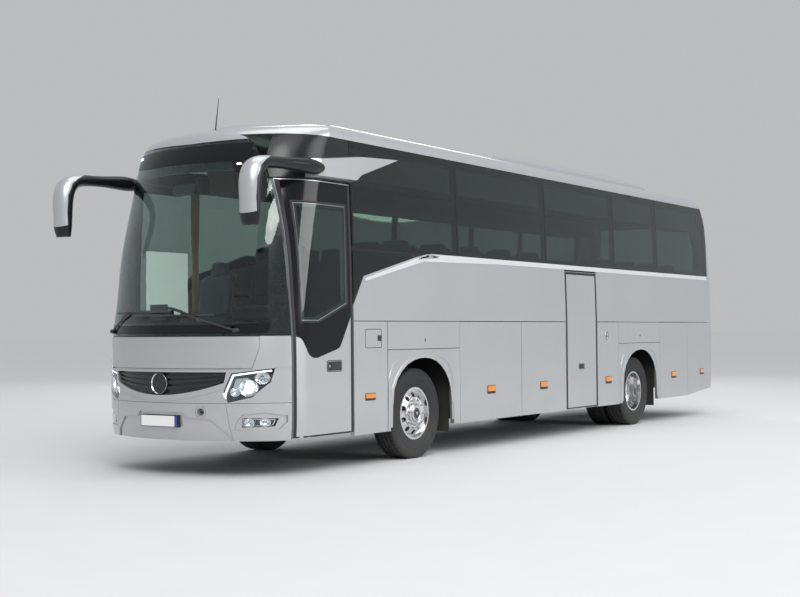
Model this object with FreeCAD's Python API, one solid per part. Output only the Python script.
import FreeCAD, Part
import math
import os

os.makedirs("parts", exist_ok=True)

vec = FreeCAD.Vector

# Two-axle coach bus, right-hand drive, doors on its left side.
# +X forward, +Y left, +Z up, origin on the ground under the middle of the vehicle. Millimetres.
# Driving dimensions. Places written with fx() are measured from the front axle.
frontAxleX = 3135.0
wheelbase = 6090.0
bodyWidth = 2550.0
skirtBottom = 354.0
beltZ = 1574.0            # joint between the lower flaps and the upper side panels
sillZ = 2352.0            # lower edge of the side windows
cantZ = 3505.0            # upper edge of the side windows
roofZ = 3715.0
wallThickness = 50.0
glassThickness = 7.0
seat = 0.3                # clearance between fitted curved faces
shutGap = 9.0             # gap round doors and flaps
saloonFloorZ = 1300.0
platformZ = 1050.0
tyreRadius = 515.0
tyreWidth = 295.0
rimRadius = 286.0
frontTrackY = 1065.0      # middle of a front tyre
rearOuterY = 1052.0       # middle of the outer rear tyre
twinSpacing = 335.0
archHalf = 655.0
archTop = 1155.0
archLip = 57.0            # width of the raised lip round a wheel opening
lipRise = 6.0             # how far lips stand proud of the skin
creaseDepth = 5.0         # seams and creases in the skin
recessDepth = 14.0        # hollows of the bumper


def fx(distance):
    return frontAxleX + distance


rearAxleX = fx(-wheelbase)

# Level, middle of the front, middle of the back (from the front axle) of the outer skin.
bodySections = [
    (300, 2830, -9290), (560, 2900, -9372), (1000, 2905, -9390), (1420, 2885, -9395),
    (2000, 2802, -9393), (2600, 2690, -9368), (3100, 2560, -9290), (3370, 2472, -9200),
    (3500, 2390, -9110), (3600, 2200, -8950), (3670, 1850, -8700), (3730, 1250, -8250),
]
noseRadius = 1793.0
noseCornerRadius = 664.0
tailCornerRadius = 330.0


def sideWidth(z):
    """Half width of the body at a level."""
    if z <= beltZ:
        return bodyWidth / 2
    return bodyWidth / 2 - 62.0 * ((z - beltZ) / (cantZ - beltZ)) ** 1.35


def box(x0, x1, y0, y1, z0, z1):
    return Part.makeBox(x1 - x0, y1 - y0, z1 - z0, vec(x0, y0, z0))


def polygonFace(points):
    return Part.Face(Part.makePolygon(points + [points[0]]))


def prismXZ(points, y0, y1):
    """A side-view outline carried across from y0 to y1."""
    return polygonFace([vec(x, y0, z) for x, z in points]).extrude(vec(0, y1 - y0, 0))


def prismYZ(points, x0, x1):
    return polygonFace([vec(x0, y, z) for y, z in points]).extrude(vec(x1 - x0, 0, 0))


def prismXY(points, z0, z1):
    return polygonFace([vec(x, y, z0) for x, y in points]).extrude(vec(0, 0, z1 - z0))


def rod(start, end, radius):
    axis = vec(*end) - vec(*start)
    return Part.makeCylinder(radius, axis.Length, vec(*start), axis)


def mirrored(shape):
    return shape.mirror(vec(0, 0, 0), vec(0, 1, 0))


def joined(shapes):
    first = shapes[0]
    return first.multiFuse(shapes[1:]).removeSplitter() if len(shapes) > 1 else first


def apart(shapes):
    """Solids that stay separate in one node."""
    solids = []
    for shape in shapes:
        solids += shape.Solids
    return Part.makeCompound(solids)


def planWire(z, front, back, half, inset):
    """One level of the body in plan: nose bow, nose corners, sides, tail corners, tail."""
    noseX = front - noseRadius
    yCorner = half - noseCornerRadius
    angle = math.asin((half - noseCornerRadius) / (noseRadius - noseCornerRadius))
    cornerX = noseX + (noseRadius - noseCornerRadius) * math.cos(angle)
    bow = noseRadius - inset
    corner = noseCornerRadius - inset
    tail = tailCornerRadius - inset
    tailX = back + tailCornerRadius
    tailY = half - tailCornerRadius

    def onBow(a):
        return vec(noseX + bow * math.cos(a), bow * math.sin(a), z)

    def onCorner(a, side):
        return vec(cornerX + corner * math.cos(a), side * (yCorner + corner * math.sin(a)), z)

    def onTail(a, side):
        return vec(tailX - tail * math.cos(a), side * (tailY + tail * math.sin(a)), z)

    quarter = math.pi / 2
    middle = (angle + quarter) / 2
    edges = [
        Part.Arc(onBow(-angle), onBow(0), onBow(angle)).toShape(),
        Part.Arc(onCorner(angle, 1), onCorner(middle, 1), onCorner(quarter, 1)).toShape(),
        Part.makeLine(onCorner(quarter, 1), onTail(quarter, 1)),
        Part.Arc(onTail(quarter, 1), onTail(quarter / 2, 1), onTail(0, 1)).toShape(),
        Part.makeLine(onTail(0, 1), onTail(0, -1)),
        Part.Arc(onTail(0, -1), onTail(quarter / 2, -1), onTail(quarter, -1)).toShape(),
        Part.makeLine(onTail(quarter, -1), onCorner(quarter, -1)),
        Part.Arc(onCorner(quarter, -1), onCorner(middle, -1), onCorner(angle, -1)).toShape(),
    ]
    return Part.Wire(edges)


def crossSection(inset):
    """The body seen from the front: upright sides, tumblehome, cant rail and crowned roof."""
    half = bodyWidth / 2 - inset
    belt = vec(0, half, beltZ)
    waist = vec(0, sideWidth(2540) - inset, 2540)
    eave = vec(0, sideWidth(cantZ) - inset, cantZ - inset * 0.2)
    rail = vec(0, 1172 - inset * 0.75, 3612 - inset * 0.75)
    crownEnd = vec(0, 1055 - inset * 0.3, 3664 - inset)
    crown = vec(0, 0, roofZ - inset)
    flip = lambda p: vec(p.x, -p.y, p.z)
    edges = [
        Part.makeLine(vec(0, half, 200), belt),
        Part.Arc(belt, waist, eave).toShape(),
        Part.Arc(eave, rail, crownEnd).toShape(),
        Part.Arc(crownEnd, crown, flip(crownEnd)).toShape(),
        Part.Arc(flip(crownEnd), flip(rail), flip(eave)).toShape(),
        Part.Arc(flip(eave), flip(waist), flip(belt)).toShape(),
        Part.makeLine(flip(belt), vec(0, -half, 200)),
        Part.makeLine(vec(0, -half, 200), vec(0, half, 200)),
    ]
    return Part.Face(Part.Wire(edges))


hulls = {}


def hull(inset):
    """The whole body as one closed form, its skin moved in by the inset."""
    if inset not in hulls:
        wires = []
        for z, front, back in bodySections:
            lift = inset * min(1.0, max(0.0, (z - 3300) / 350.0))
            side = sideWidth(min(z, 3560)) + 2
            wires.append(planWire(z - lift, fx(front), fx(back), side, inset))
        plan = Part.makeLoft(wires, True, False)
        across = crossSection(inset)
        across.translate(vec(fx(-9600), 0, 0))
        hulls[inset] = plan.common(across.extrude(vec(12700, 0, 0)))
    return hulls[inset]


shells = {}


def shell(outer, inner):
    """The skin between two insets."""
    if (outer, inner) not in shells:
        shells[(outer, inner)] = hull(outer).cut(hull(inner))
    return shells[(outer, inner)]


wall = shell(0, wallThickness)
paneLayer = shell(0, glassThickness)
frameLayer = shell(glassThickness + seat, wallThickness)

parts = {}

# Outlines in side view, (x from the front axle, z).
frontDoorRear, frontDoorFront = 1300.0, 2285.0
frontDoorBottom, frontDoorTop = 385.0, 3030.0
midDoorRear, midDoorFront = -4640.0, -3650.0
midDoorTop = 2270.0
swoosh = [(1275, 1760), (1089, 2055), (82, 2296), (-166, 2344), (-482, sillZ)]
windowSplits = [-852, -3117, -5274, -6868]
glassRear = [(-8880, 3489), (-9140, 2865), (-9134, 2718), (-8896, 2360)]
pillar = 90.0


def atAxle(points):
    return [(fx(x), z) for x, z in points]


def sideBoth(points, left=True, right=True):
    shapes = []
    if left:
        shapes.append(prismXZ(atAxle(points), 0, 1600))
    if right:
        shapes.append(prismXZ(atAxle(points), -1600, 0))
    return shapes[0] if len(shapes) == 1 else shapes[0].fuse(shapes[1])


# Upper side panels below the windows, with the swoosh that drops to the doors.
tailStart = -9020.0
panelLeft = [(frontDoorRear - shutGap, beltZ)] + [(frontDoorRear - shutGap, 1745)] + swoosh
panelLeft += [(tailStart, sillZ), (tailStart, beltZ)]
panelRight = [(2050, beltZ), (2050, 1640)] + swoosh + [(tailStart, sillZ), (tailStart, beltZ)]
midDoorway = sideBoth([(midDoorRear, 330), (midDoorFront, 330), (midDoorFront, midDoorTop + 10),
                       (midDoorRear, midDoorTop + 10)], right=False)
midHead = box(fx(midDoorRear), fx(midDoorFront), 0, 1600, midDoorTop + 10, sillZ)
upperLeft = wall.common(sideBoth(panelLeft, right=False)).cut(midDoorway).cut(midHead)
upperRight = wall.common(sideBoth(panelRight, left=False))


def archCutter(axleOffset, grow=0.0):
    """Wheel opening through the side: upright ends under a flat crown with round corners."""
    middle = axleOffset - 45
    half = archHalf - 10 + grow
    corner = 330.0 + grow
    z = archTop + grow
    low = 150.0
    p = [vec(fx(middle - half - 30), 0, low), vec(fx(middle - half), 0, z - corner),
         vec(fx(middle - half + corner), 0, z), vec(fx(middle + half - corner), 0, z),
         vec(fx(middle + half), 0, z - corner), vec(fx(middle + half + 30), 0, low)]
    k = corner * (1 - math.sqrt(0.5))
    a = vec(fx(middle - half + k), 0, z - k)
    b = vec(fx(middle + half - k), 0, z - k)
    wire = Part.Wire([
        Part.makeLine(p[0], p[1]), Part.Arc(p[1], a, p[2]).toShape(), Part.makeLine(p[2], p[3]),
        Part.Arc(p[3], b, p[4]).toShape(), Part.makeLine(p[4], p[5]), Part.makeLine(p[5], p[0])])
    face = Part.Face(wire)
    face.translate(vec(0, -1700, 0))
    return face.extrude(vec(0, 3400, 0))


def sideSeam(rear, front, bottom, top):
    """A shallow cut along both upright sides."""
    outer = box(fx(rear), fx(front), -1400, 1400, bottom, top)
    inner = bodyWidth / 2 - creaseDepth
    return outer.cut(box(fx(rear) - 1, fx(front) + 1, -inner, inner, bottom - 1, top + 1))


skirtRun = [(1290, skirtBottom), (1290, beltZ), (tailStart, beltZ), (tailStart, 452),
            (-8020, skirtBottom + 12)]
lower = wall.common(sideBoth(skirtRun))
arches = archCutter(0).fuse(archCutter(-wheelbase))
lipRing = archCutter(0, archLip).fuse(archCutter(-wheelbase, archLip))
archLips = shell(-lipRise, wallThickness).common(lipRing).common(sideBoth(skirtRun))
lower = lower.fuse(archLips).cut(arches)

# Seams scribed in the lower panels: (rear, front, bottom, top).
seamWidth = 6.0
seamTable = [(660, 660 + seamWidth, skirtBottom, beltZ), (-857, 660, 1247, 1247 + seamWidth),
             (-6902, -5361, 1247, 1247 + seamWidth), (-9200, 1290, beltZ - shutGap, beltZ)]
hatchSeam = (779, 1083, 1279, 1482)
for rear, front, bottom, top in seamTable:
    lower = lower.cut(sideSeam(rear, front, bottom, top))
rear, front, bottom, top = hatchSeam
lower = lower.cut(sideSeam(rear, front, bottom, top).cut(sideSeam(
    rear + seamWidth, front - seamWidth, bottom + seamWidth, top - seamWidth)))

# Flap openings: name, rear, front, bottom, side.
flapTable = [
    ("left_flap_front", -2385, -857, skirtBottom, 1),
    ("left_flap_rear", -3641, -2385, skirtBottom, 1),
    ("left_tank_flap", -5361, -4640, skirtBottom, 1),
    ("left_service_flap", -8040, -6902, skirtBottom, 1),
    ("right_flap_front", -2385, -857, skirtBottom, -1),
    ("right_flap_rear", -4627, -2385, skirtBottom, -1),
    ("right_service_flap", -8040, -6902, skirtBottom, -1),
]
flapThickness = 34.0
flapLayer = shell(0, flapThickness)
for name, rear, front, bottom, side in flapTable:
    opening = box(fx(rear), fx(front), min(0, side * 1600), max(0, side * 1600), 300, beltZ)
    lower = lower.cut(opening)
    leaf = box(fx(rear) + shutGap / 2, fx(front) - shutGap / 2, min(0, side * 1600),
               max(0, side * 1600), bottom + (10 if name.endswith("service_flap") else 0),
               beltZ - shutGap)
    parts[name] = flapLayer.common(leaf)
lower = lower.cut(midDoorway)
# The right side carries on forward to the nose corner under the driver's window.
rightFront = wall.common(sideBoth([(2050, skirtBottom), (2050, beltZ), (1290, beltZ),
                                   (1290, skirtBottom)], left=False))
parts["side_panels"] = apart([upperLeft, upperRight.fuse(lower.common(
    box(fx(-9600), fx(3000), -1600, 0, 0, 4000))).fuse(rightFront).removeSplitter(),
    lower.common(box(fx(-9600), fx(3000), 0, 1600, 0, 4000))])
print("side panels")

# Black frames behind the glass, and the glass itself.
frameRun = [(frontDoorRear - shutGap, cantZ), (frontDoorRear - shutGap, 1745)] + swoosh
frameRun += [(tailStart, sillZ), (tailStart, cantZ)]
frameRunRight = [(2050, cantZ), (2050, 1640)] + swoosh + [(tailStart, sillZ), (tailStart, cantZ)]
splits = [frontDoorRear - shutGap] + windowSplits + [glassRear[1][0] + 160]
railFoot, railHead = sillZ + 55, cantZ - 70
sideFrames, pillars = [], []
for side, run in ((1, frameRun), (-1, frameRunRight)):
    band = frameLayer.common(sideBoth(run, left=side > 0, right=side < 0))
    edges = list(splits)
    if side < 0:
        edges[0] = 1960.0
    sideFrames.append(band.common(box(fx(-9600), fx(3000), -1600, 1600, railHead, cantZ)))
    foot = band.common(box(fx(-9600), fx(3000), -1600, 1600, 1000, railFoot))
    if side < 0:
        foot = foot.cut(sideBoth([(150, railFoot), (1120, 2110), (1310, 1810), (1960, 1700),
                                  (1960, railFoot)], left=False))
    else:
        foot = foot.fuse(wall.common(midHead))
    sideFrames.append(foot)
    # A pillar stands between two windows, and at each end of the row.
    stands = [(x - pillar / 2, x + pillar / 2) for x in edges[1:-1]]
    stands += [(edges[0] - (pillar / 2 if side > 0 else 0), 2050), (-9600, edges[-1] + pillar / 2)]
    for rear, front in stands:
        pillars.append(band.common(box(fx(rear), fx(front), -1600, 1600, railFoot, railHead)))
parts["side_pillars"] = apart(pillars)
parts["side_frames"] = apart(sideFrames)
panes = []
for side in (1, -1):
    first = frontDoorRear - shutGap - 4 if side > 0 else 2046.0
    edges = [first] + windowSplits
    for i, front in enumerate(edges):
        if i + 1 < len(edges):
            rear = edges[i + 1]
            outline = [(front - 3, sillZ + 4), (front - 3, cantZ - 4), (rear + 3, cantZ - 4),
                       (rear + 3, sillZ + 4)]
            if side < 0 and i == 0:
                outline = [(front - 3, 1650), (front - 3, cantZ - 4), (rear + 3, cantZ - 4),
                           (rear + 3, sillZ + 4), (-482, sillZ + 4), (-166, 2348),
                           (82, 2300), (1091, 2060), (1278, 1766)]
        else:
            outline = [(front - 3, sillZ + 4), (front - 3, cantZ - 4), (-8872, cantZ - 4),
                       (tailStart + 3, 3150), (tailStart + 3, 2480), (-8896, sillZ + 4)]
        panes.append(paneLayer.common(sideBoth(outline, left=side > 0, right=side < 0)))
lowerPane = [(1284, 1768), (1284, sillZ - 26), (98, sillZ - 26), (104, 2296), (1093, 2060)]
panes.append(paneLayer.common(sideBoth(lowerPane, right=False)))
parts["side_glass"] = apart(panes)
print("side glass")

# Bright strip along the foot of the windows, one each side.
stripOutline = [(-260, sillZ), (tailStart + 40, sillZ), (tailStart + 40, sillZ - 62),
                (-1846, sillZ - 62), (-101, 2258), (1060, 2003), (1078, 2030), (82, 2282)]
strip = shell(-6, -seat).common(sideBoth(stripOutline))
parts["side_trim"] = strip
print("trim")

# Nose: bumper, mask with the lamp and grille openings, flap over the grille.
bumperTop = 752.0
flapBottom, maskTop = 1090.0, 1420.0
flapHalf = 985.0
noseLeft = box(fx(frontDoorFront) + shutGap, fx(3200), 0, 1600, 0, 4000)
noseRight = box(fx(2050), fx(3200), -1600, 0, 0, 4000)
noseZone = noseLeft.fuse(noseRight).removeSplitter()
nose = wall.common(noseZone)
lampOutline = [(722, 845), (800, 1050), (1150, 1100), (1122, 960), (985, 812), (772, 757)]
fogOutline = [(880, 512), (890, 606), (1160, 600), (1135, 520)]


def smile(half, top, side, foot):
    """Front view of a mouth: level top edge, short sides and a bowed lower edge, carried through the nose."""
    x = fx(2300)
    corner, lowCorner = half, half - 22
    edges = [Part.makeLine(vec(x, -corner, top), vec(x, corner, top)),
             Part.makeLine(vec(x, corner, top), vec(x, lowCorner, side)),
             Part.Arc(vec(x, lowCorner, side), vec(x, 0, foot), vec(x, -lowCorner, side)).toShape(),
             Part.makeLine(vec(x, -lowCorner, side), vec(x, -corner, top))]
    return Part.Face(Part.Wire(edges)).extrude(vec(800, 0, 0))


def bowedBar(half, endZ, middleZ, endHeight, middleHeight):
    """Front view of a bar that sags in the middle and thins towards its ends."""
    x = fx(2300)
    low = [vec(x, y, z) for y, z in ((-half, endZ - endHeight / 2), (0, middleZ - middleHeight / 2),
                                     (half, endZ - endHeight / 2))]
    high = [vec(x, y, z) for y, z in ((half, endZ + endHeight / 2), (0, middleZ + middleHeight / 2),
                                      (-half, endZ + endHeight / 2))]
    edges = [Part.Arc(*low).toShape(), Part.makeLine(low[2], high[0]), Part.Arc(*high).toShape(),
             Part.makeLine(high[2], low[0])]
    return Part.Face(Part.Wire(edges)).extrude(vec(800, 0, 0))


grilleHole = smile(760, 1062, 955, 828)
lampHoles = [prismYZ([(s * y, z) for y, z in lampOutline], fx(1900), fx(3100)) for s in (1, -1)]
fogHoles = [prismYZ([(s * y, z) for y, z in fogOutline], fx(1900), fx(3100)) for s in (1, -1)]
towY, towZ, towRadius = 500.0, 665.0, 60.0
towHole = rod((fx(2600), towY, towZ), (fx(3100), towY, towZ), 32)
towRing = rod((fx(2600), towY, towZ), (fx(3100), towY, towZ), towRadius).cut(
    rod((fx(2600), towY, towZ), (fx(3100), towY, towZ), towRadius - 6))
towRing = shell(0, creaseDepth).common(towRing)
mask = nose.common(box(fx(1000), fx(3200), -1600, 1600, bumperTop + 3, maskTop))
# The silver lip under the grille, and the seam from each lamp to the side.
noseLips = shell(-lipRise, wallThickness).common(noseZone)
mask = mask.fuse(noseLips.common(smile(830, 1078, 925, 772)))
mask = mask.cut(grilleHole).cut(lampHoles[0]).cut(lampHoles[1])
creases = shell(0, creaseDepth)
for s in (1, -1):
    mask = mask.cut(creases.common(box(fx(1000), fx(3100), min(s * 1148, s * 1600),
                                       max(s * 1148, s * 1600), 1098, 1098 + seamWidth)))
rebate = 25.0
flapLedge = 45.0          # width of the ledge behind the flap's sides
flapFlare = 108.0         # the flap is this much wider each side above its shoulder
flapShoulder = 1310.0     # above this level the sides run straight up
flapTopRelief = 75.0      # height of the thinner part along the flap's top edge
flapEdgeX = 2609.0        # where the skin stands at the flap's lower corners


def flapPlate(sideGap, topGap, footGap):
    """Flap over the grille: its sides lean outward and are cut square to the rounded skin."""
    top, low = maskTop + 10 - topGap, flapBottom + footGap
    foot = flapHalf - sideGap
    halves = []
    for s in (1, -1):
        outline = [(-s * 2000, low), (s * foot, low), (s * (foot + flapFlare), flapShoulder),
                   (s * (foot + flapFlare), top), (-s * 2000, top)]
        face = polygonFace([vec(fx(flapEdgeX - 600), y - s * 600, z) for y, z in outline])
        halves.append(face.extrude(vec(1200, s * 1200, 0)))
    return halves[0].common(halves[1])


frontFlapZone = flapPlate(0, 0, 0)
frontFlapHole = box(fx(2000), fx(3200), -flapHalf + flapLedge, flapHalf - flapLedge,
                    flapBottom + 45, maskTop - rebate)
mask = mask.cut(shell(0, 24 + seat).common(frontFlapZone)).cut(frontFlapHole)
parts["front_mask"] = mask
# The flap's foot steps back so that it clears the mask as it swings forward and down.
frontFlap = shell(0, 24).common(flapPlate(8, 15, 10))
# Its top edge is thinner behind, so that its corners clear the ledge as they swing down.
frontFlap = frontFlap.cut(shell(20, 30).common(
    box(fx(2000), fx(3200), -1600, 1600, maskTop - flapTopRelief, maskTop + 10)))
foldZ = 1337.0            # crease across the flap, and the lip along its foot
frontFlap = frontFlap.cut(creases.common(
    box(fx(2000), fx(3200), -1600, 1600, foldZ, maskTop + 10)))
frontFlap = frontFlap.fuse(shell(-lipRise, wallThickness).common(
    bowedBar(900, flapBottom + 22, flapBottom + 40, 14, 58)).cut(hull(creaseDepth)))
for depth, rise in ((6, 10), (14, 20)):
    frontFlap = frontFlap.cut(hull(depth).common(
        box(fx(2000), fx(3200), -flapHalf, flapHalf, flapBottom, flapBottom + 10 + rise)))
parts["front_flap"] = frontFlap
bumper = nose.common(box(fx(1000), fx(3200), -1600, 1600, skirtBottom + 20, bumperTop - 3))
# Hollows under the bumper's swept ridge and round the fog lamps, and the seam to each corner piece.
ridge = [(-800, 360), (-760, 450), (-600, 590), (-330, 612), (-300, 662), (300, 662), (330, 612),
         (600, 590), (760, 450), (800, 360)]
fogHollow = [(820, 480), (845, 570), (900, 640), (1080, 660), (1215, 628), (1215, 560), (1170, 490)]
cornerSeam = [(748, 760), (754, 760), (806, 360), (800, 360)]
hollows = shell(0, recessDepth)
bumper = bumper.cut(hollows.common(prismYZ(ridge, fx(2300), fx(3100))))
for s in (1, -1):
    bumper = bumper.cut(hollows.common(prismYZ([(s * y, z) for y, z in fogHollow],
                                               fx(1900), fx(3100))))
    bumper = bumper.cut(creases.common(prismYZ([(s * y, z) for y, z in cornerSeam],
                                               fx(1900), fx(3100))))
lip = shell(20, wallThickness).common(noseZone).common(
    box(fx(1000), fx(3200), -1600, 1600, bumperTop - 3, bumperTop + 3))
bumper = bumper.fuse(lip).cut(fogHoles[0]).cut(fogHoles[1]).cut(towHole).cut(towRing)
bumper = bumper.cut(box(fx(2870), fx(3200), -262, 262, 505, 630))
parts["front_bumper"] = bumper
print("nose")

# Windscreen and its black frame.
def capEdge(drop):
    """Front view below the roof cap's edge, which follows the crown."""
    return prismYZ([(-1600, maskTop), (1600, maskTop), (1600, cantZ - drop), (1250, cantZ - drop),
                    (1100, 3465 - drop), (0, 3432 - drop), (-1100, 3465 - drop),
                    (-1250, cantZ - drop), (-1600, cantZ - drop)], fx(1000), fx(3200))


screenZone = noseZone.common(capEdge(0))
screenFrame = frameLayer.common(screenZone)
screenWindow = prismYZ([(-1085, 1560), (-985, 3120), (985, 3120), (1085, 1560)],
                       fx(1900), fx(3200))
parts["windscreen_frame"] = screenFrame.cut(screenWindow)
parts["windscreen"] = paneLayer.common(noseZone.common(capEdge(3))).cut(
    box(fx(1000), fx(3200), -1600, 1600, maskTop - 1, maskTop + 10))

# Piece over the front door between the door head and the roof.
overDoor = wall.common(box(fx(frontDoorRear) - shutGap, fx(frontDoorFront) + shutGap, 900, 1600,
                           frontDoorTop + shutGap, cantZ))
parts["side_frames"] = apart([parts["side_frames"], overDoor])
print("screen")

# Roof skin, tail and its window, engine lid, rear bumper.
roofZone = box(fx(-9600), fx(3200), -1600, 1600, cantZ, 4000)
roofNose = noseZone.common(box(fx(1000), fx(3200), -1600, 1600, 3400, cantZ)).cut(capEdge(0))
roof = wall.common(roofZone.fuse(roofNose).removeSplitter())
# The cap overhangs the windscreen with a lip, and a seam crosses the roof behind the front door.
capLip = capEdge(-38).common(box(fx(2300), fx(3200), -1600, 1600, 3400, 3600)).cut(capEdge(0))
roof = roof.fuse(shell(-lipRise, wallThickness).common(capLip))
roof = roof.cut(creases.common(box(fx(1356), fx(1356) + seamWidth, -1600, 1600, cantZ, 4000)))
hatchX, hatchHalf = -700.0, 380.0
hatchHole = box(fx(hatchX - hatchHalf), fx(hatchX + hatchHalf), -hatchHalf, hatchHalf, 3500, 4000)
curb = box(fx(hatchX - hatchHalf - 45), fx(hatchX + hatchHalf + 45), -hatchHalf - 45,
           hatchHalf + 45, roofZ - 30, roofZ + 4)
roof = roof.fuse(curb).cut(hatchHole)
parts["roof_shell"] = roof
hatchLid = box(fx(hatchX - hatchHalf - 45), fx(hatchX + hatchHalf + 45), -hatchHalf - 45,
               hatchHalf + 45, roofZ + 4, roofZ + 34)
hatchPlug = box(fx(hatchX - hatchHalf + 12), fx(hatchX + hatchHalf - 12), -hatchHalf + 12,
                hatchHalf - 12, roofZ - 30, roofZ + 4)
parts["roof_hatch"] = hatchLid.makeFillet(12, hatchLid.Edges[:4]).fuse(hatchPlug)

tailZone = prismXZ(atAxle([(-9700, 560), (tailStart, 452), (tailStart, cantZ), (-9700, cantZ)]),
                   -1600, 1600)
tail = wall.common(tailZone)
rearWindow = [(-900, 2420), (-930, 2760), (-860, 3270), (860, 3270), (930, 2760), (900, 2420)]
lidHalf, lidBottom, lidTop = 820.0, 760.0, 1900.0
lidZone = box(fx(-9700), fx(-9100), -lidHalf, lidHalf, lidBottom, lidTop)
tailLampZone = [box(fx(-9700), fx(-9140), min(s * 900, s * 1290), max(s * 900, s * 1290), 907, 1472)
                for s in (1, -1)]
lidHole = box(fx(-9700), fx(-9100), -lidHalf + rebate, lidHalf - rebate, lidBottom + rebate,
              lidTop - rebate)
rearOpening = [(y * 0.965, 2845 + (z - 2845) * 0.93) for y, z in rearWindow]
tail = tail.cut(shell(0, flapThickness + seat).common(lidZone)).cut(lidHole)
tail = tail.cut(shell(0, glassThickness + seat).common(
    prismYZ(rearWindow, fx(-9700), fx(-9000)))).cut(prismYZ(rearOpening, fx(-9700), fx(-9000)))
lampSkin = shell(0, 30)
for zone in tailLampZone:
    tail = tail.cut(lampSkin.common(zone))
parts["rear_wall"] = tail
parts["engine_lid"] = flapLayer.common(
    box(fx(-9700), fx(-9100), -lidHalf + 5, lidHalf - 5, lidBottom + 5, lidTop - 5))
rearPane = paneLayer.common(prismYZ([(y * 0.992, 2845 + (z - 2845) * 0.99) for y, z in rearWindow],
                                    fx(-9700), fx(-9000)))
parts["rear_window"] = rearPane
parts["tail_lamps"] = apart([shell(0, 29.4).common(zone) for zone in tailLampZone])
print("tail")

# Air-conditioning pod on the roof.
podFront, podRear, podHalf = -2250.0, -7350.0, 900.0
podOutline = [(podFront, 3690), (podFront - 180, 3800), (podFront - 900, 3868),
              (podRear + 1500, 3872), (podRear + 250, 3800), (podRear, 3690)]
pod = prismXZ(atAxle(podOutline), -podHalf, podHalf)
podAcross = prismYZ([(-podHalf, 3650), (-podHalf, 3760), (-podHalf + 140, 3860), (0, 3880),
                     (podHalf - 140, 3860), (podHalf, 3760), (podHalf, 3650)],
                    fx(podRear), fx(podFront))
parts["roof_pod"] = pod.common(podAcross).cut(hull(-seat))
print("pod")

# Front grille, lamps.
# Bars of the grille: half width, level of the ends, level of the middle, thickness at each.
barTable = [(742, 1040, 1012, 10, 30), (722, 1004, 958, 10, 34), (690, 962, 900, 10, 34)]
barLayer = shell(12, 44)
slats = [barLayer.common(bowedBar(*row)) for row in barTable]
grilleBack = shell(38, 46).common(grilleHole)
discZ, discRadius = 946.0, 112.0
disc = shell(8, 44).common(rod((fx(2500), 0, discZ), (fx(3100), 0, discZ), discRadius))
ring = shell(0, 44).common(rod((fx(2500), 0, discZ), (fx(3100), 0, discZ), discRadius).cut(
    rod((fx(2500), 0, discZ), (fx(3100), 0, discZ), discRadius - 9)))
parts["grille"] = joined([grilleBack, disc, ring] + slats).common(grilleHole)
lamps = []
for s in (1, -1):
    for outline, recess in ((lampOutline, 1), (fogOutline, 8)):
        lamps.append(shell(recess, 49).common(
            prismYZ([(s * y, z) for y, z in outline], fx(1900), fx(3100))).common(noseZone))
parts["front_lamps"] = apart(lamps)
print("lamps")

# Wheel housings: a box over each wheel with a mud flap behind it.
housings = []
for axle, inner in ((0, 520), (-wheelbase, 430)):
    for s in (1, -1):
        x0, x1 = fx(axle - 45 - archHalf - 20), fx(axle - 45 + archHalf + 65)
        y0, y1 = inner, 1224.0
        outer = box(x0, x1, y0, y1, 560, saloonFloorZ - 50)
        inside = box(x0 + 12, x1 - 12, y0 + 12, y1 + 10, 500, saloonFloorZ - 62)
        mudFlap = box(x0, x0 + 8, 900, 1200, 260, 562)
        notch = box(fx(axle - 110), fx(axle + 110), y0 - 10, y0 + 30, 500, 640)
        shape = outer.cut(inside).cut(notch).fuse(mudFlap)
        housings.append(shape if s > 0 else mirrored(shape))
parts["wheel_housings"] = apart(housings)

# Floors. The saloon floor carries the entrance steps, the platform and the stairwells.
floorHalf = 1224.5
floorPlan = Part.Face(planWire(platformZ - 40, fx(2904), fx(-9393), bodyWidth / 2 + 2,
                               wallThickness + 3))
floorBlank = floorPlan.extrude(vec(0, 0, 400))
floor = floorBlank.common(box(fx(-9600), fx(1250), -floorHalf, floorHalf, saloonFloorZ - 50,
                              saloonFloorZ))
midWell = box(fx(midDoorRear + 40), fx(midDoorFront - 40), 330, floorHalf + 10, 1200, 1400)
floor = floor.cut(midWell)
platform = floorBlank.common(box(fx(1250), fx(3000), -floorHalf, floorHalf, platformZ - 40,
                                 platformZ))
platform = platform.cut(box(fx(1330), fx(2240), 260, 1600, 900, 1200))
platform = platform.cut(box(fx(2240), fx(2310), 1080, 1600, 900, 1200))
riser = joined([box(fx(1210), fx(1250), -floorHalf, floorHalf, platformZ - 40, saloonFloorZ),
                box(fx(1250), fx(1305), 261, floorHalf, platformZ - 40, platformZ)])
platformMain = platform.common(box(fx(1250) + 0.5, fx(3000), -floorHalf, 260, 1000, 1100))
platformLeft = platform.common(box(fx(2240), fx(3000), 260.5, floorHalf, 1000, 1100))
steps = []
stepDepth = (1180.0 - 260.0) / 3
for i in range(3):
    level = 400 + i * 217
    y1 = 1180 - i * stepDepth
    steps.append(box(fx(1330), fx(2240), y1 - stepDepth - 20, y1, level, level + 25))
    steps.append(box(fx(1330), fx(2240), y1 - stepDepth - 20, y1 - stepDepth,
                     level, min(level + 242, platformZ)))
wellWalls = [box(fx(1305), fx(1330), 230, floorHalf - 25, 400, platformZ),
             box(fx(2240), fx(2262), 230, 1100, 400, platformZ)]
midSteps = []
midStepDepth = (1180.0 - 330.0) / 3
for i in range(3):
    level = 460 + i * 230
    y1 = 1180 - i * midStepDepth
    midSteps.append(box(fx(midDoorRear + 40), fx(midDoorFront - 40), y1 - midStepDepth - 20, y1,
                        level, level + 25))
    midSteps.append(box(fx(midDoorRear + 40), fx(midDoorFront - 40), y1 - midStepDepth - 20,
                        y1 - midStepDepth, level, level + 255))
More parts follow.
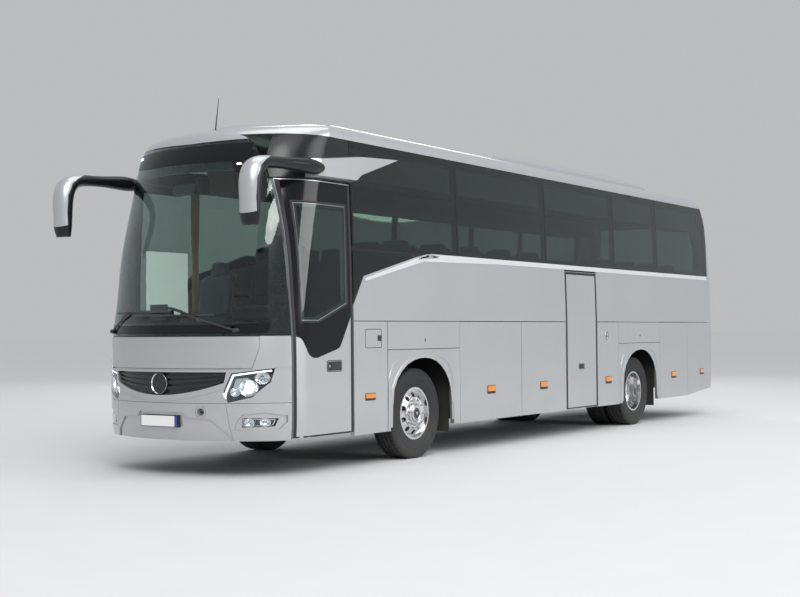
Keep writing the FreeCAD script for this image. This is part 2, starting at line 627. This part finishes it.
midWalls = [box(fx(midDoorRear + 15), fx(midDoorRear + 40), 310, 1180, 450, saloonFloorZ),
            box(fx(midDoorFront - 40), fx(midDoorFront - 15), 310, 1180, 450, saloonFloorZ)]
parts["passenger_floor"] = apart([joined([floor, riser]), platformMain, platformLeft])
parts["front_steps"] = joined(steps + wellWalls).cut(parts["passenger_floor"])
bay = box(fx(-5380), fx(-857), -floorHalf, floorHalf, 400, 450)
bulkheads = [box(fx(x), fx(x) + 30, -floorHalf, floorHalf, 450, saloonFloorZ - 50)
             for x in (-5380, -887)]
strips = [box(fx(x0), fx(x1), min(s * 1225, s * 1240.7), max(s * 1225, s * 1240.7), 400, 450)
          for x0, x1, s in ((-5350, -4655, 1), (-3635, -868, 1), (-4618, -868, -1))]
inner = [box(fx(-4655), fx(-4625), -floorHalf, 1180, 450, saloonFloorZ - 50),
         box(fx(-3665), fx(-3635), -floorHalf, 1180, 450, saloonFloorZ - 50)]
luggage = joined([bay] + bulkheads + inner)
parts["luggage_floor"] = apart([luggage] + strips)
under = box(fx(-5400), fx(-800), -1300, 1300, 300, saloonFloorZ - 50)
parts["mid_steps"] = joined(midSteps + midWalls).common(under).cut(luggage)
print("floors")

# Underframe: front and rear ladder frames, jack pads, towing socket.
# Ladder frame: (rear, front, y of the rail, bottom, top).
railRuns = [(-857, 1260, 380, 880, 1000), (1180, 2700, 190, 880, platformZ - 40),
            (-9250, -5380, 300, 880, 1000)]
crossMembers = [(2620, 80, 700), (1180, 80, 900), (750, 80, 1100), (-857, 73, 1200),
                (-5410, 30, 1200), (-6950, 80, 1100), (-8000, 80, 1100), (-9180, 80, 900)]
parts["frame_rails"] = apart([
    box(fx(rear), fx(front), s * y - 40, s * y + 40, bottom, top)
    for s in (1, -1) for rear, front, y, bottom, top in railRuns])
beams = {x: box(fx(x), fx(x) + width, -half, half, 790, 880) for x, width, half in crossMembers}
for s in (1, -1):
    # Hangers of the luggage floor, and longitudinal ties behind the rear service flaps.
    beams[-857] = beams[-857].fuse(box(fx(-857), fx(-784), s * 380 - 40, s * 380 + 40, 450, 880))
    beams[-6950] = beams[-6950].fuse(box(fx(-7400), fx(-6912), s * 1160 - 80.7, s * 1160 + 80.7,
                                         800, 880))
    beams[-8000] = beams[-8000].fuse(box(fx(-8030), fx(-7600), s * 1160 - 80.7, s * 1160 + 80.7,
                                         800, 880))
towTube = rod((fx(2660), towY, towZ), (fx(2760), towY, towZ), 36)
beams[2620] = joined([beams[2620], towTube, box(fx(2620), fx(2700), towY - 45, towY + 45, towZ - 45, 790)])
towBore = rod((fx(2680), towY, towZ), (fx(2770), towY, towZ), 21)
beams[2620] = beams[2620].cut(towBore)
parts["underframe"] = apart(list(beams.values()))
print("underframe")

# Front axle: dropped beam with kingpin eyes, and its knuckles.
kingpinY = 860.0
hubZ = tyreRadius
beam = prismXZ([(fx(-60), 395), (fx(60), 395), (fx(60), 425), (fx(22), 435), (fx(22), 475),
                (fx(60), 485), (fx(60), 515), (fx(-60), 515), (fx(-60), 485), (fx(-22), 475),
                (fx(-22), 435), (fx(-60), 425)], -kingpinY + 66, kingpinY - 66)
necks = [box(fx(-40), fx(40), min(s * 780, s * 830), max(s * 780, s * 830), 450, 515)
         for s in (1, -1)]
eyes = [Part.makeCylinder(58, 140, vec(fx(0), s * kingpinY, 445)) for s in (1, -1)]
beam = joined([beam] + necks + eyes)
for s in (1, -1):
    beam = beam.cut(Part.makeCylinder(22 + seat, 400, vec(fx(0), s * kingpinY, 300)))
springs = [joined([Part.makeCylinder(120, 300, vec(fx(0), s * 380, 515)),
                   box(fx(-60), fx(60), s * 380 - 60, s * 380 + 60, 505, 520)]) for s in (1, -1)]
hangers = [box(fx(-70), fx(70), s * 380 - 70, s * 380 + 70, 815, 880) for s in (1, -1)]
parts["front_axle"] = joined([beam] + springs + hangers)
for name, s in (("knuckle_left", 1), ("knuckle_right", -1)):
    fork = [Part.makeCylinder(58, 45, vec(fx(0), s * kingpinY, 590.3)),
            Part.makeCylinder(58, 45, vec(fx(0), s * kingpinY, 399.7)),
            Part.makeCylinder(22, 240, vec(fx(0), s * kingpinY, 397)),
            box(fx(-55), fx(55), min(s * (kingpinY + 66), s * (kingpinY + 96)),
                max(s * (kingpinY + 66), s * (kingpinY + 96)), 399.7, 635.3),
            box(fx(-55), fx(55), min(s * kingpinY, s * (kingpinY + 90)),
                max(s * kingpinY, s * (kingpinY + 90)), 590.3, 635.3),
            box(fx(-55), fx(55), min(s * kingpinY, s * (kingpinY + 90)),
                max(s * kingpinY, s * (kingpinY + 90)), 399.7, 444.7),
            rod((fx(0), s * (kingpinY + 90), hubZ), (fx(0), s * 1165, hubZ), 45)]
    parts[name] = joined(fork)
print("front axle")

# Wheels. A tyre has a tread band, shoulders and sidewalls; a rim has a disc with hand holes.
treadHalf = tyreWidth / 2 - 18


def ringSolid(profile, x, y):
    """Revolve (radius, offset) points about the wheel's own axle line."""
    points = [vec(x, y + offset, hubZ + radius) for radius, offset in profile]
    return polygonFace(points).revolve(vec(x, 0, hubZ), vec(0, 1, 0), 360)


flangeTop = rimRadius + 14 + seat
tyreProfile = [(rimRadius + 1, -103), (flangeTop, -107.6), (flangeTop, -126),
               (tyreRadius - 110, -tyreWidth / 2),
               (tyreRadius - 35, -tyreWidth / 2 + 6), (tyreRadius, -treadHalf),
               (tyreRadius, treadHalf), (tyreRadius - 35, tyreWidth / 2 - 6),
               (tyreRadius - 110, tyreWidth / 2), (flangeTop, 126), (flangeTop, 107.6),
               (rimRadius + 1, 103)]


def tyreAt(x, y):
    return ringSolid(tyreProfile, x, y)


def rimAt(x, y, discOffset, side, run):
    """Polished rim; its disc stands at discOffset and meets the barrel run further inward."""
    d = discOffset * side
    e = (discOffset - run) * side
    barrel = ringSolid([(rimRadius + 14, -122), (rimRadius - 10, -122), (rimRadius - 22, -60),
                        (rimRadius - 22, 60), (rimRadius - 10, 122), (rimRadius + 14, 122),
                        (rimRadius + 14, 108), (rimRadius, 104), (rimRadius, -104),
                        (rimRadius + 14, -108)], x, y)
    disc = ringSolid([(62, d - 9), (178, d - 9), (248, e - 9), (rimRadius - 14, e - 9),
                      (rimRadius - 14, e + 9), (248, e + 9), (178, d + 9), (62, d + 9)], x, y)
    for i in range(10):
        a = 2 * math.pi * (i + 0.5) / 10
        cx, cz = x + 212 * math.cos(a), hubZ + 212 * math.sin(a)
        disc = disc.cut(rod((cx, y - 400, cz), (cx, y + 400, cz), 29))
    return barrel.fuse(disc)


stubBore = 45 + seat
for name, s in (("left", 1), ("right", -1)):
    y = s * frontTrackY
    parts["tyre_front_" + name] = tyreAt(fx(0), y)
    hub = ringSolid([(stubBore, s * -60), (205, s * -60), (205, s * -20), (100, s * -20),
                     (100, s * 112), (96, s * 150), (stubBore, s * 150)], fx(0), y)
    cap = Part.makeCylinder(60, 8, vec(fx(0), y + s * 142, hubZ), vec(0, s, 0))
    parts["rim_front_" + name] = joined([rimAt(fx(0), y, 112, s, 42), hub, cap])
    yo = s * rearOuterY
    yi = s * (rearOuterY - twinSpacing)
    yFlange = (yo + yi) / 2
    parts["tyre_rear_" + name] = apart([tyreAt(rearAxleX, yo), tyreAt(rearAxleX, yi)])
    half = twinSpacing / 2
    outerRim = rimAt(rearAxleX, yo, 9 - half, s, -62)
    innerRim = rimAt(rearAxleX, yi, half - 9, s, 62)
    drum = ringSolid([(stubBore, s * -250), (200, s * -250), (200, s * -40), (100, s * -40),
                      (100, s * 60), (88, s * 95), (stubBore, s * 95)], rearAxleX, yFlange)
    drumCap = Part.makeCylinder(60, 8, vec(rearAxleX, yFlange + s * 87, hubZ), vec(0, s, 0))
    parts["rim_rear_" + name] = joined([outerRim, innerRim, drum, drumCap])
print("wheels")

# Rear axle: banjo casing with stub tubes.
casing = [rod((rearAxleX, -560, hubZ), (rearAxleX, 560, hubZ), 75),
          Part.makeSphere(190, vec(rearAxleX, 0, hubZ)),
          rod((rearAxleX, -920, hubZ), (rearAxleX, 920, hubZ), 45)]
for s in (1, -1):
    casing.append(Part.makeCylinder(110, 330, vec(rearAxleX + 20, s * 300, hubZ + 35)))
parts["rear_axle"] = joined(casing)

# Engine: one plain block at the back.
parts["engine"] = box(fx(-8900), fx(-7600), -420, 420, 450, 790)

# Dashboard, driver's place and passenger seats.
dash = prismXZ(atAxle([(2180, platformZ), (2620, platformZ), (2640, 1395), (2480, 1520),
                       (2200, 1480), (2150, 1330)]), -1000, 300)
binnacle = prismXZ(atAxle([(2160, 1400), (2420, 1450), (2420, 1640), (2180, 1560)]), -860, -360)
wheelCentre = (fx(2040), -610.0, 1632.0)
tilt = math.radians(26)
wheelAxis = vec(-math.sin(tilt), 0, math.cos(tilt))
columnTop = vec(*wheelCentre) - wheelAxis * 30
column = Part.makeCylinder(32, 460, columnTop - wheelAxis * 460, wheelAxis)
parts["dashboard"] = joined([dash, binnacle, column]).common(hull(wallThickness + seat))
wheelRing = Part.makeTorus(232, 15, vec(*wheelCentre), wheelAxis)
hubDisc = Part.makeCylinder(62, 34, vec(*wheelCentre) - wheelAxis * 30, wheelAxis)
across = vec(0, 1, 0)
along = wheelAxis.cross(across)
spokes = []
for direction in (across, across * -1, along * -1):
    start = vec(*wheelCentre) + direction * 40 - wheelAxis * 12
    end = vec(*wheelCentre) + direction * 228
    spokes.append(Part.makeCylinder(13, (end - start).Length, start, end - start))
parts["steering_wheel"] = joined([wheelRing, hubDisc] + spokes)


def seatPair(x, y0, y1, z):
    """A double seat with a reclined back, facing forward, front edge of the cushion at x."""
    side = [(x, z + 300), (x, z + 430), (x - 430, z + 410), (x - 560, z + 1080),
            (x - 650, z + 1060), (x - 560, z + 340), (x - 470, z + 290)]
    body = prismXZ(side, y0, y1)
    leg = box(x - 380, x - 120, y0 + 40, y1 - 40, z, z + 320)
    return body.fuse(leg)


seats = []
seatPitch = 790.0
for row in range(11):
    x = fx(620) - row * seatPitch
    for y0, y1 in ((330, 1170), (-1170, -330)):
        overWell = y0 > 0 and fx(midDoorRear) - 100 < x < fx(midDoorFront) + 700
        if not overWell:
            seats.append(seatPair(x, y0, y1, saloonFloorZ))
driver = seatPair(fx(1880), -860, -380, platformZ)
parts["seats"] = apart(seats + [driver])
print("cabin")

# Parcel racks over the seats, curtain of the driver's window.
racks = []
for s in (1, -1):
    outline = [(700, 3130), (1180, 3100), (1185, 3130), (1165, 3400), (760, 3360)]
    racks.append(prismYZ([(s * y, z) for y, z in outline], fx(-8700), fx(900)))
parts["luggage_racks"] = apart(racks).common(hull(wallThickness + seat))
rail = box(fx(900), fx(1960), -1150, -1130, 3125, 3145)
parts["curtains"] = box(fx(1080), fx(1200), -1165, -1115, 1560, 3130).fuse(rail)

# Mirrors: a silver fin on the side, and a black arm that reaches forward and hooks down in the head.
fairingOutline = [(2015, 3042), (1980, 3237), (1180, 3340), (420, 3380), (1198, 3122), (1289, 3052)]
# Path of arm and head: x, z, droop of the path in degrees, half depth, half width.
mirrorPath = [(1905, 3138, 0, 50, 62), (2010, 3138, 0, 74, 82), (2350, 3136, 1, 66, 76),
              (2650, 3124, 4, 60, 74), (2840, 3098, 18, 72, 100), (2955, 3030, 52, 96, 118),
              (3005, 2890, 82, 100, 120), (3008, 2700, 90, 86, 116), (2998, 2490, 92, 56, 92)]
mirrorY = 1310.0
# Side view of the silver cover over the front of the hook; the rest of the head is black.
coverOutline = [(2690, 3190), (2790, 3158), (2880, 3120), (2975, 3056), (3034, 2930), (3042, 2750),
                (3034, 2612), (3200, 2556), (3200, 3300), (2690, 3300)]


def oval(x, z, droop, deep, wide):
    """A cross-section of the mirror, square to its path."""
    a = math.radians(droop)
    centre = vec(fx(x), mirrorY, z)
    across = centre + vec(0, wide, 0)
    upward = centre + vec(math.sin(a), 0, math.cos(a)) * deep
    return Part.Wire(Part.Ellipse(across, upward, centre).toShape())


hook = Part.makeLoft([oval(*row) for row in mirrorPath], True, False)
cover = hook.common(prismXZ(atAxle(coverOutline), 1000, 1600))
arm = hook.cut(prismXZ(atAxle(coverOutline), 1000, 1600))


def fairingWire(y, share):
    """The fin's outline drawn in towards its middle by a share."""
    middle = (1300, 3190)
    points = [vec(fx(middle[0] + (x - middle[0]) * share), y, middle[1] + (z - middle[1]) * share)
              for x, z in fairingOutline]
    return Part.makePolygon(points + [points[0]])


fairing = Part.makeLoft([fairingWire(1130, 0.97), fairingWire(1250, 1.0), fairingWire(1330, 0.9)],
                        True, True)
fairing = fairing.cut(hull(-seat)).cut(hook)
parts["mirrors"] = apart([fairing, cover, mirrored(fairing), mirrored(cover)])
parts["mirror_arms"] = apart([arm, mirrored(arm)])
print("mirrors")

# Wipers across the foot of the windscreen.
def noseX(y, z):
    """Where the nose's skin stands at a place across the front."""
    probe = Part.makeLine(vec(fx(2000), y, z), vec(fx(3100), y, z))
    return max(vertex.X for vertex in hull(0).common(probe).Vertexes)


wipers = []
for pivotY, tipY, tipZ, bladeFrom, bladeTo in ((-960, -560, 1672, -860, 120),
                                               (840, 340, 1632, -360, 620)):
    pivotZ = 1478
    px = noseX(pivotY, pivotZ) - 30
    spindle = rod((px, pivotY, pivotZ), (px + 76, pivotY, pivotZ), 22)
    arm = rod((px + 64, pivotY, pivotZ), (noseX(tipY, tipZ) + 34, tipY, tipZ), 10)
    stops = [bladeFrom + (bladeTo - bladeFrom) * i / 5 for i in range(6)]
    near = [(noseX(y, tipZ) + 8, y) for y in stops]
    far = [(x + 20, y) for x, y in near]
    blade = prismXY(near + far[::-1], tipZ - 9, tipZ + 9)
    wiper = joined([spindle, arm, blade])
    hole = rod((px - 60, pivotY, pivotZ), (px + 90, pivotY, pivotZ), 24)
    parts["windscreen"] = parts["windscreen"].cut(hole)
    parts["windscreen_frame"] = parts["windscreen_frame"].cut(
        rod((px - 0.2, pivotY, pivotZ), (px + 90, pivotY, pivotZ), 24))
    wipers.append(wiper)
parts["wipers"] = apart(wipers)

# Doors: leaf cut from the wall, its glass, and the swing arm inside the doorway.
doorOutline = [(frontDoorRear + 12, frontDoorBottom), (frontDoorFront - 10, frontDoorBottom),
               (frontDoorFront - 10, frontDoorTop - 8), (frontDoorRear + 12, frontDoorTop - 8)]
doorWindow = [(2160, 2774), (1411, 2778), (1422, 1757), (1906, 1576), (2160, 1575)]
doorWindowIn = [(2125, 2739), (1446, 2743), (1457, 1784), (1916, 1611), (2125, 1610)]
leaf = wall.common(sideBoth(doorOutline, right=False))
leaf = leaf.cut(sideBoth(doorWindowIn, right=False))
leaf = leaf.cut(shell(0, glassThickness + seat).common(sideBoth(doorWindow, right=False)))
parts["front_door_leaf"] = leaf
parts["front_door_glass"] = paneLayer.common(sideBoth(
    [(2156, 2770), (1415, 2774), (1426, 1760), (1907, 1580), (2156, 1579)], right=False))
armY, armRadius, leafPinY, pinRadius = 1110.0, 30.0, 1170.0, 20.0
shaftBack, armReach = 185.0, 650.0        # behind the doorway's front edge; shaft to leaf pin
doorSwings = (("front_door", fx(frontDoorFront - shaftBack), 425, 2210, 1400),
              ("mid_door", fx(midDoorFront - shaftBack), 485, 2200, 1500))
parts["mid_door_leaf"] = wall.common(sideBoth(
    [(midDoorRear + 12, 360), (midDoorFront - 12, 360), (midDoorFront - 12, midDoorTop - 2),
     (midDoorRear + 12, midDoorTop - 2)], right=False))
for name, armX, foot, head, level in doorSwings:
    pinX = armX - armReach
    parts[name + "_arm"] = joined([
        Part.makeCylinder(armRadius, head - foot, vec(armX, armY, foot)),
        rod((armX, armY, level), (pinX, leafPinY, level), 16),
        Part.makeCylinder(pinRadius, 120, vec(pinX, leafPinY, level - 100))])
    bracket = box(pinX - 34, pinX + 34, leafPinY - 34, 1230, level - 90, level - 30).cut(
        Part.makeCylinder(pinRadius + seat, 200, vec(pinX, leafPinY, level - 150)))
    parts[name + "_leaf"] = parts[name + "_leaf"].fuse(bracket)
print("doors")

# Small fittings: number plate holders and the roof whip aerial.
plateFront = box(fx(2870), fx(2906), -260, 260, 507, 628)
plateRear = box(fx(-9396), fx(-9340), -260, 260, 600, 720)
parts["rear_wall"] = parts["rear_wall"].cut(box(fx(-9500), fx(-9340), -262, 262, 598, 722))
aerial = Part.makeCone(9, 3, 400, vec(fx(2050), 0, 3590), vec(-0.15, 0, 1)).cut(hull(-seat))
parts["fittings"] = apart([plateFront, plateRear, aerial])

for node, shape in parts.items():
    solids = shape.Solids
    if not solids:
        raise RuntimeError(node + " has no solid")
    if len(solids) == 1:
        shape = solids[0]
    else:
        shape = Part.makeCompound(solids)
    shape.exportStep("parts/" + node + ".step")
    box0 = shape.BoundBox
    print(node, len(solids), round(box0.XMin), round(box0.XMax), round(box0.YMin),
          round(box0.YMax), round(box0.ZMin), round(box0.ZMax), shape.isValid())
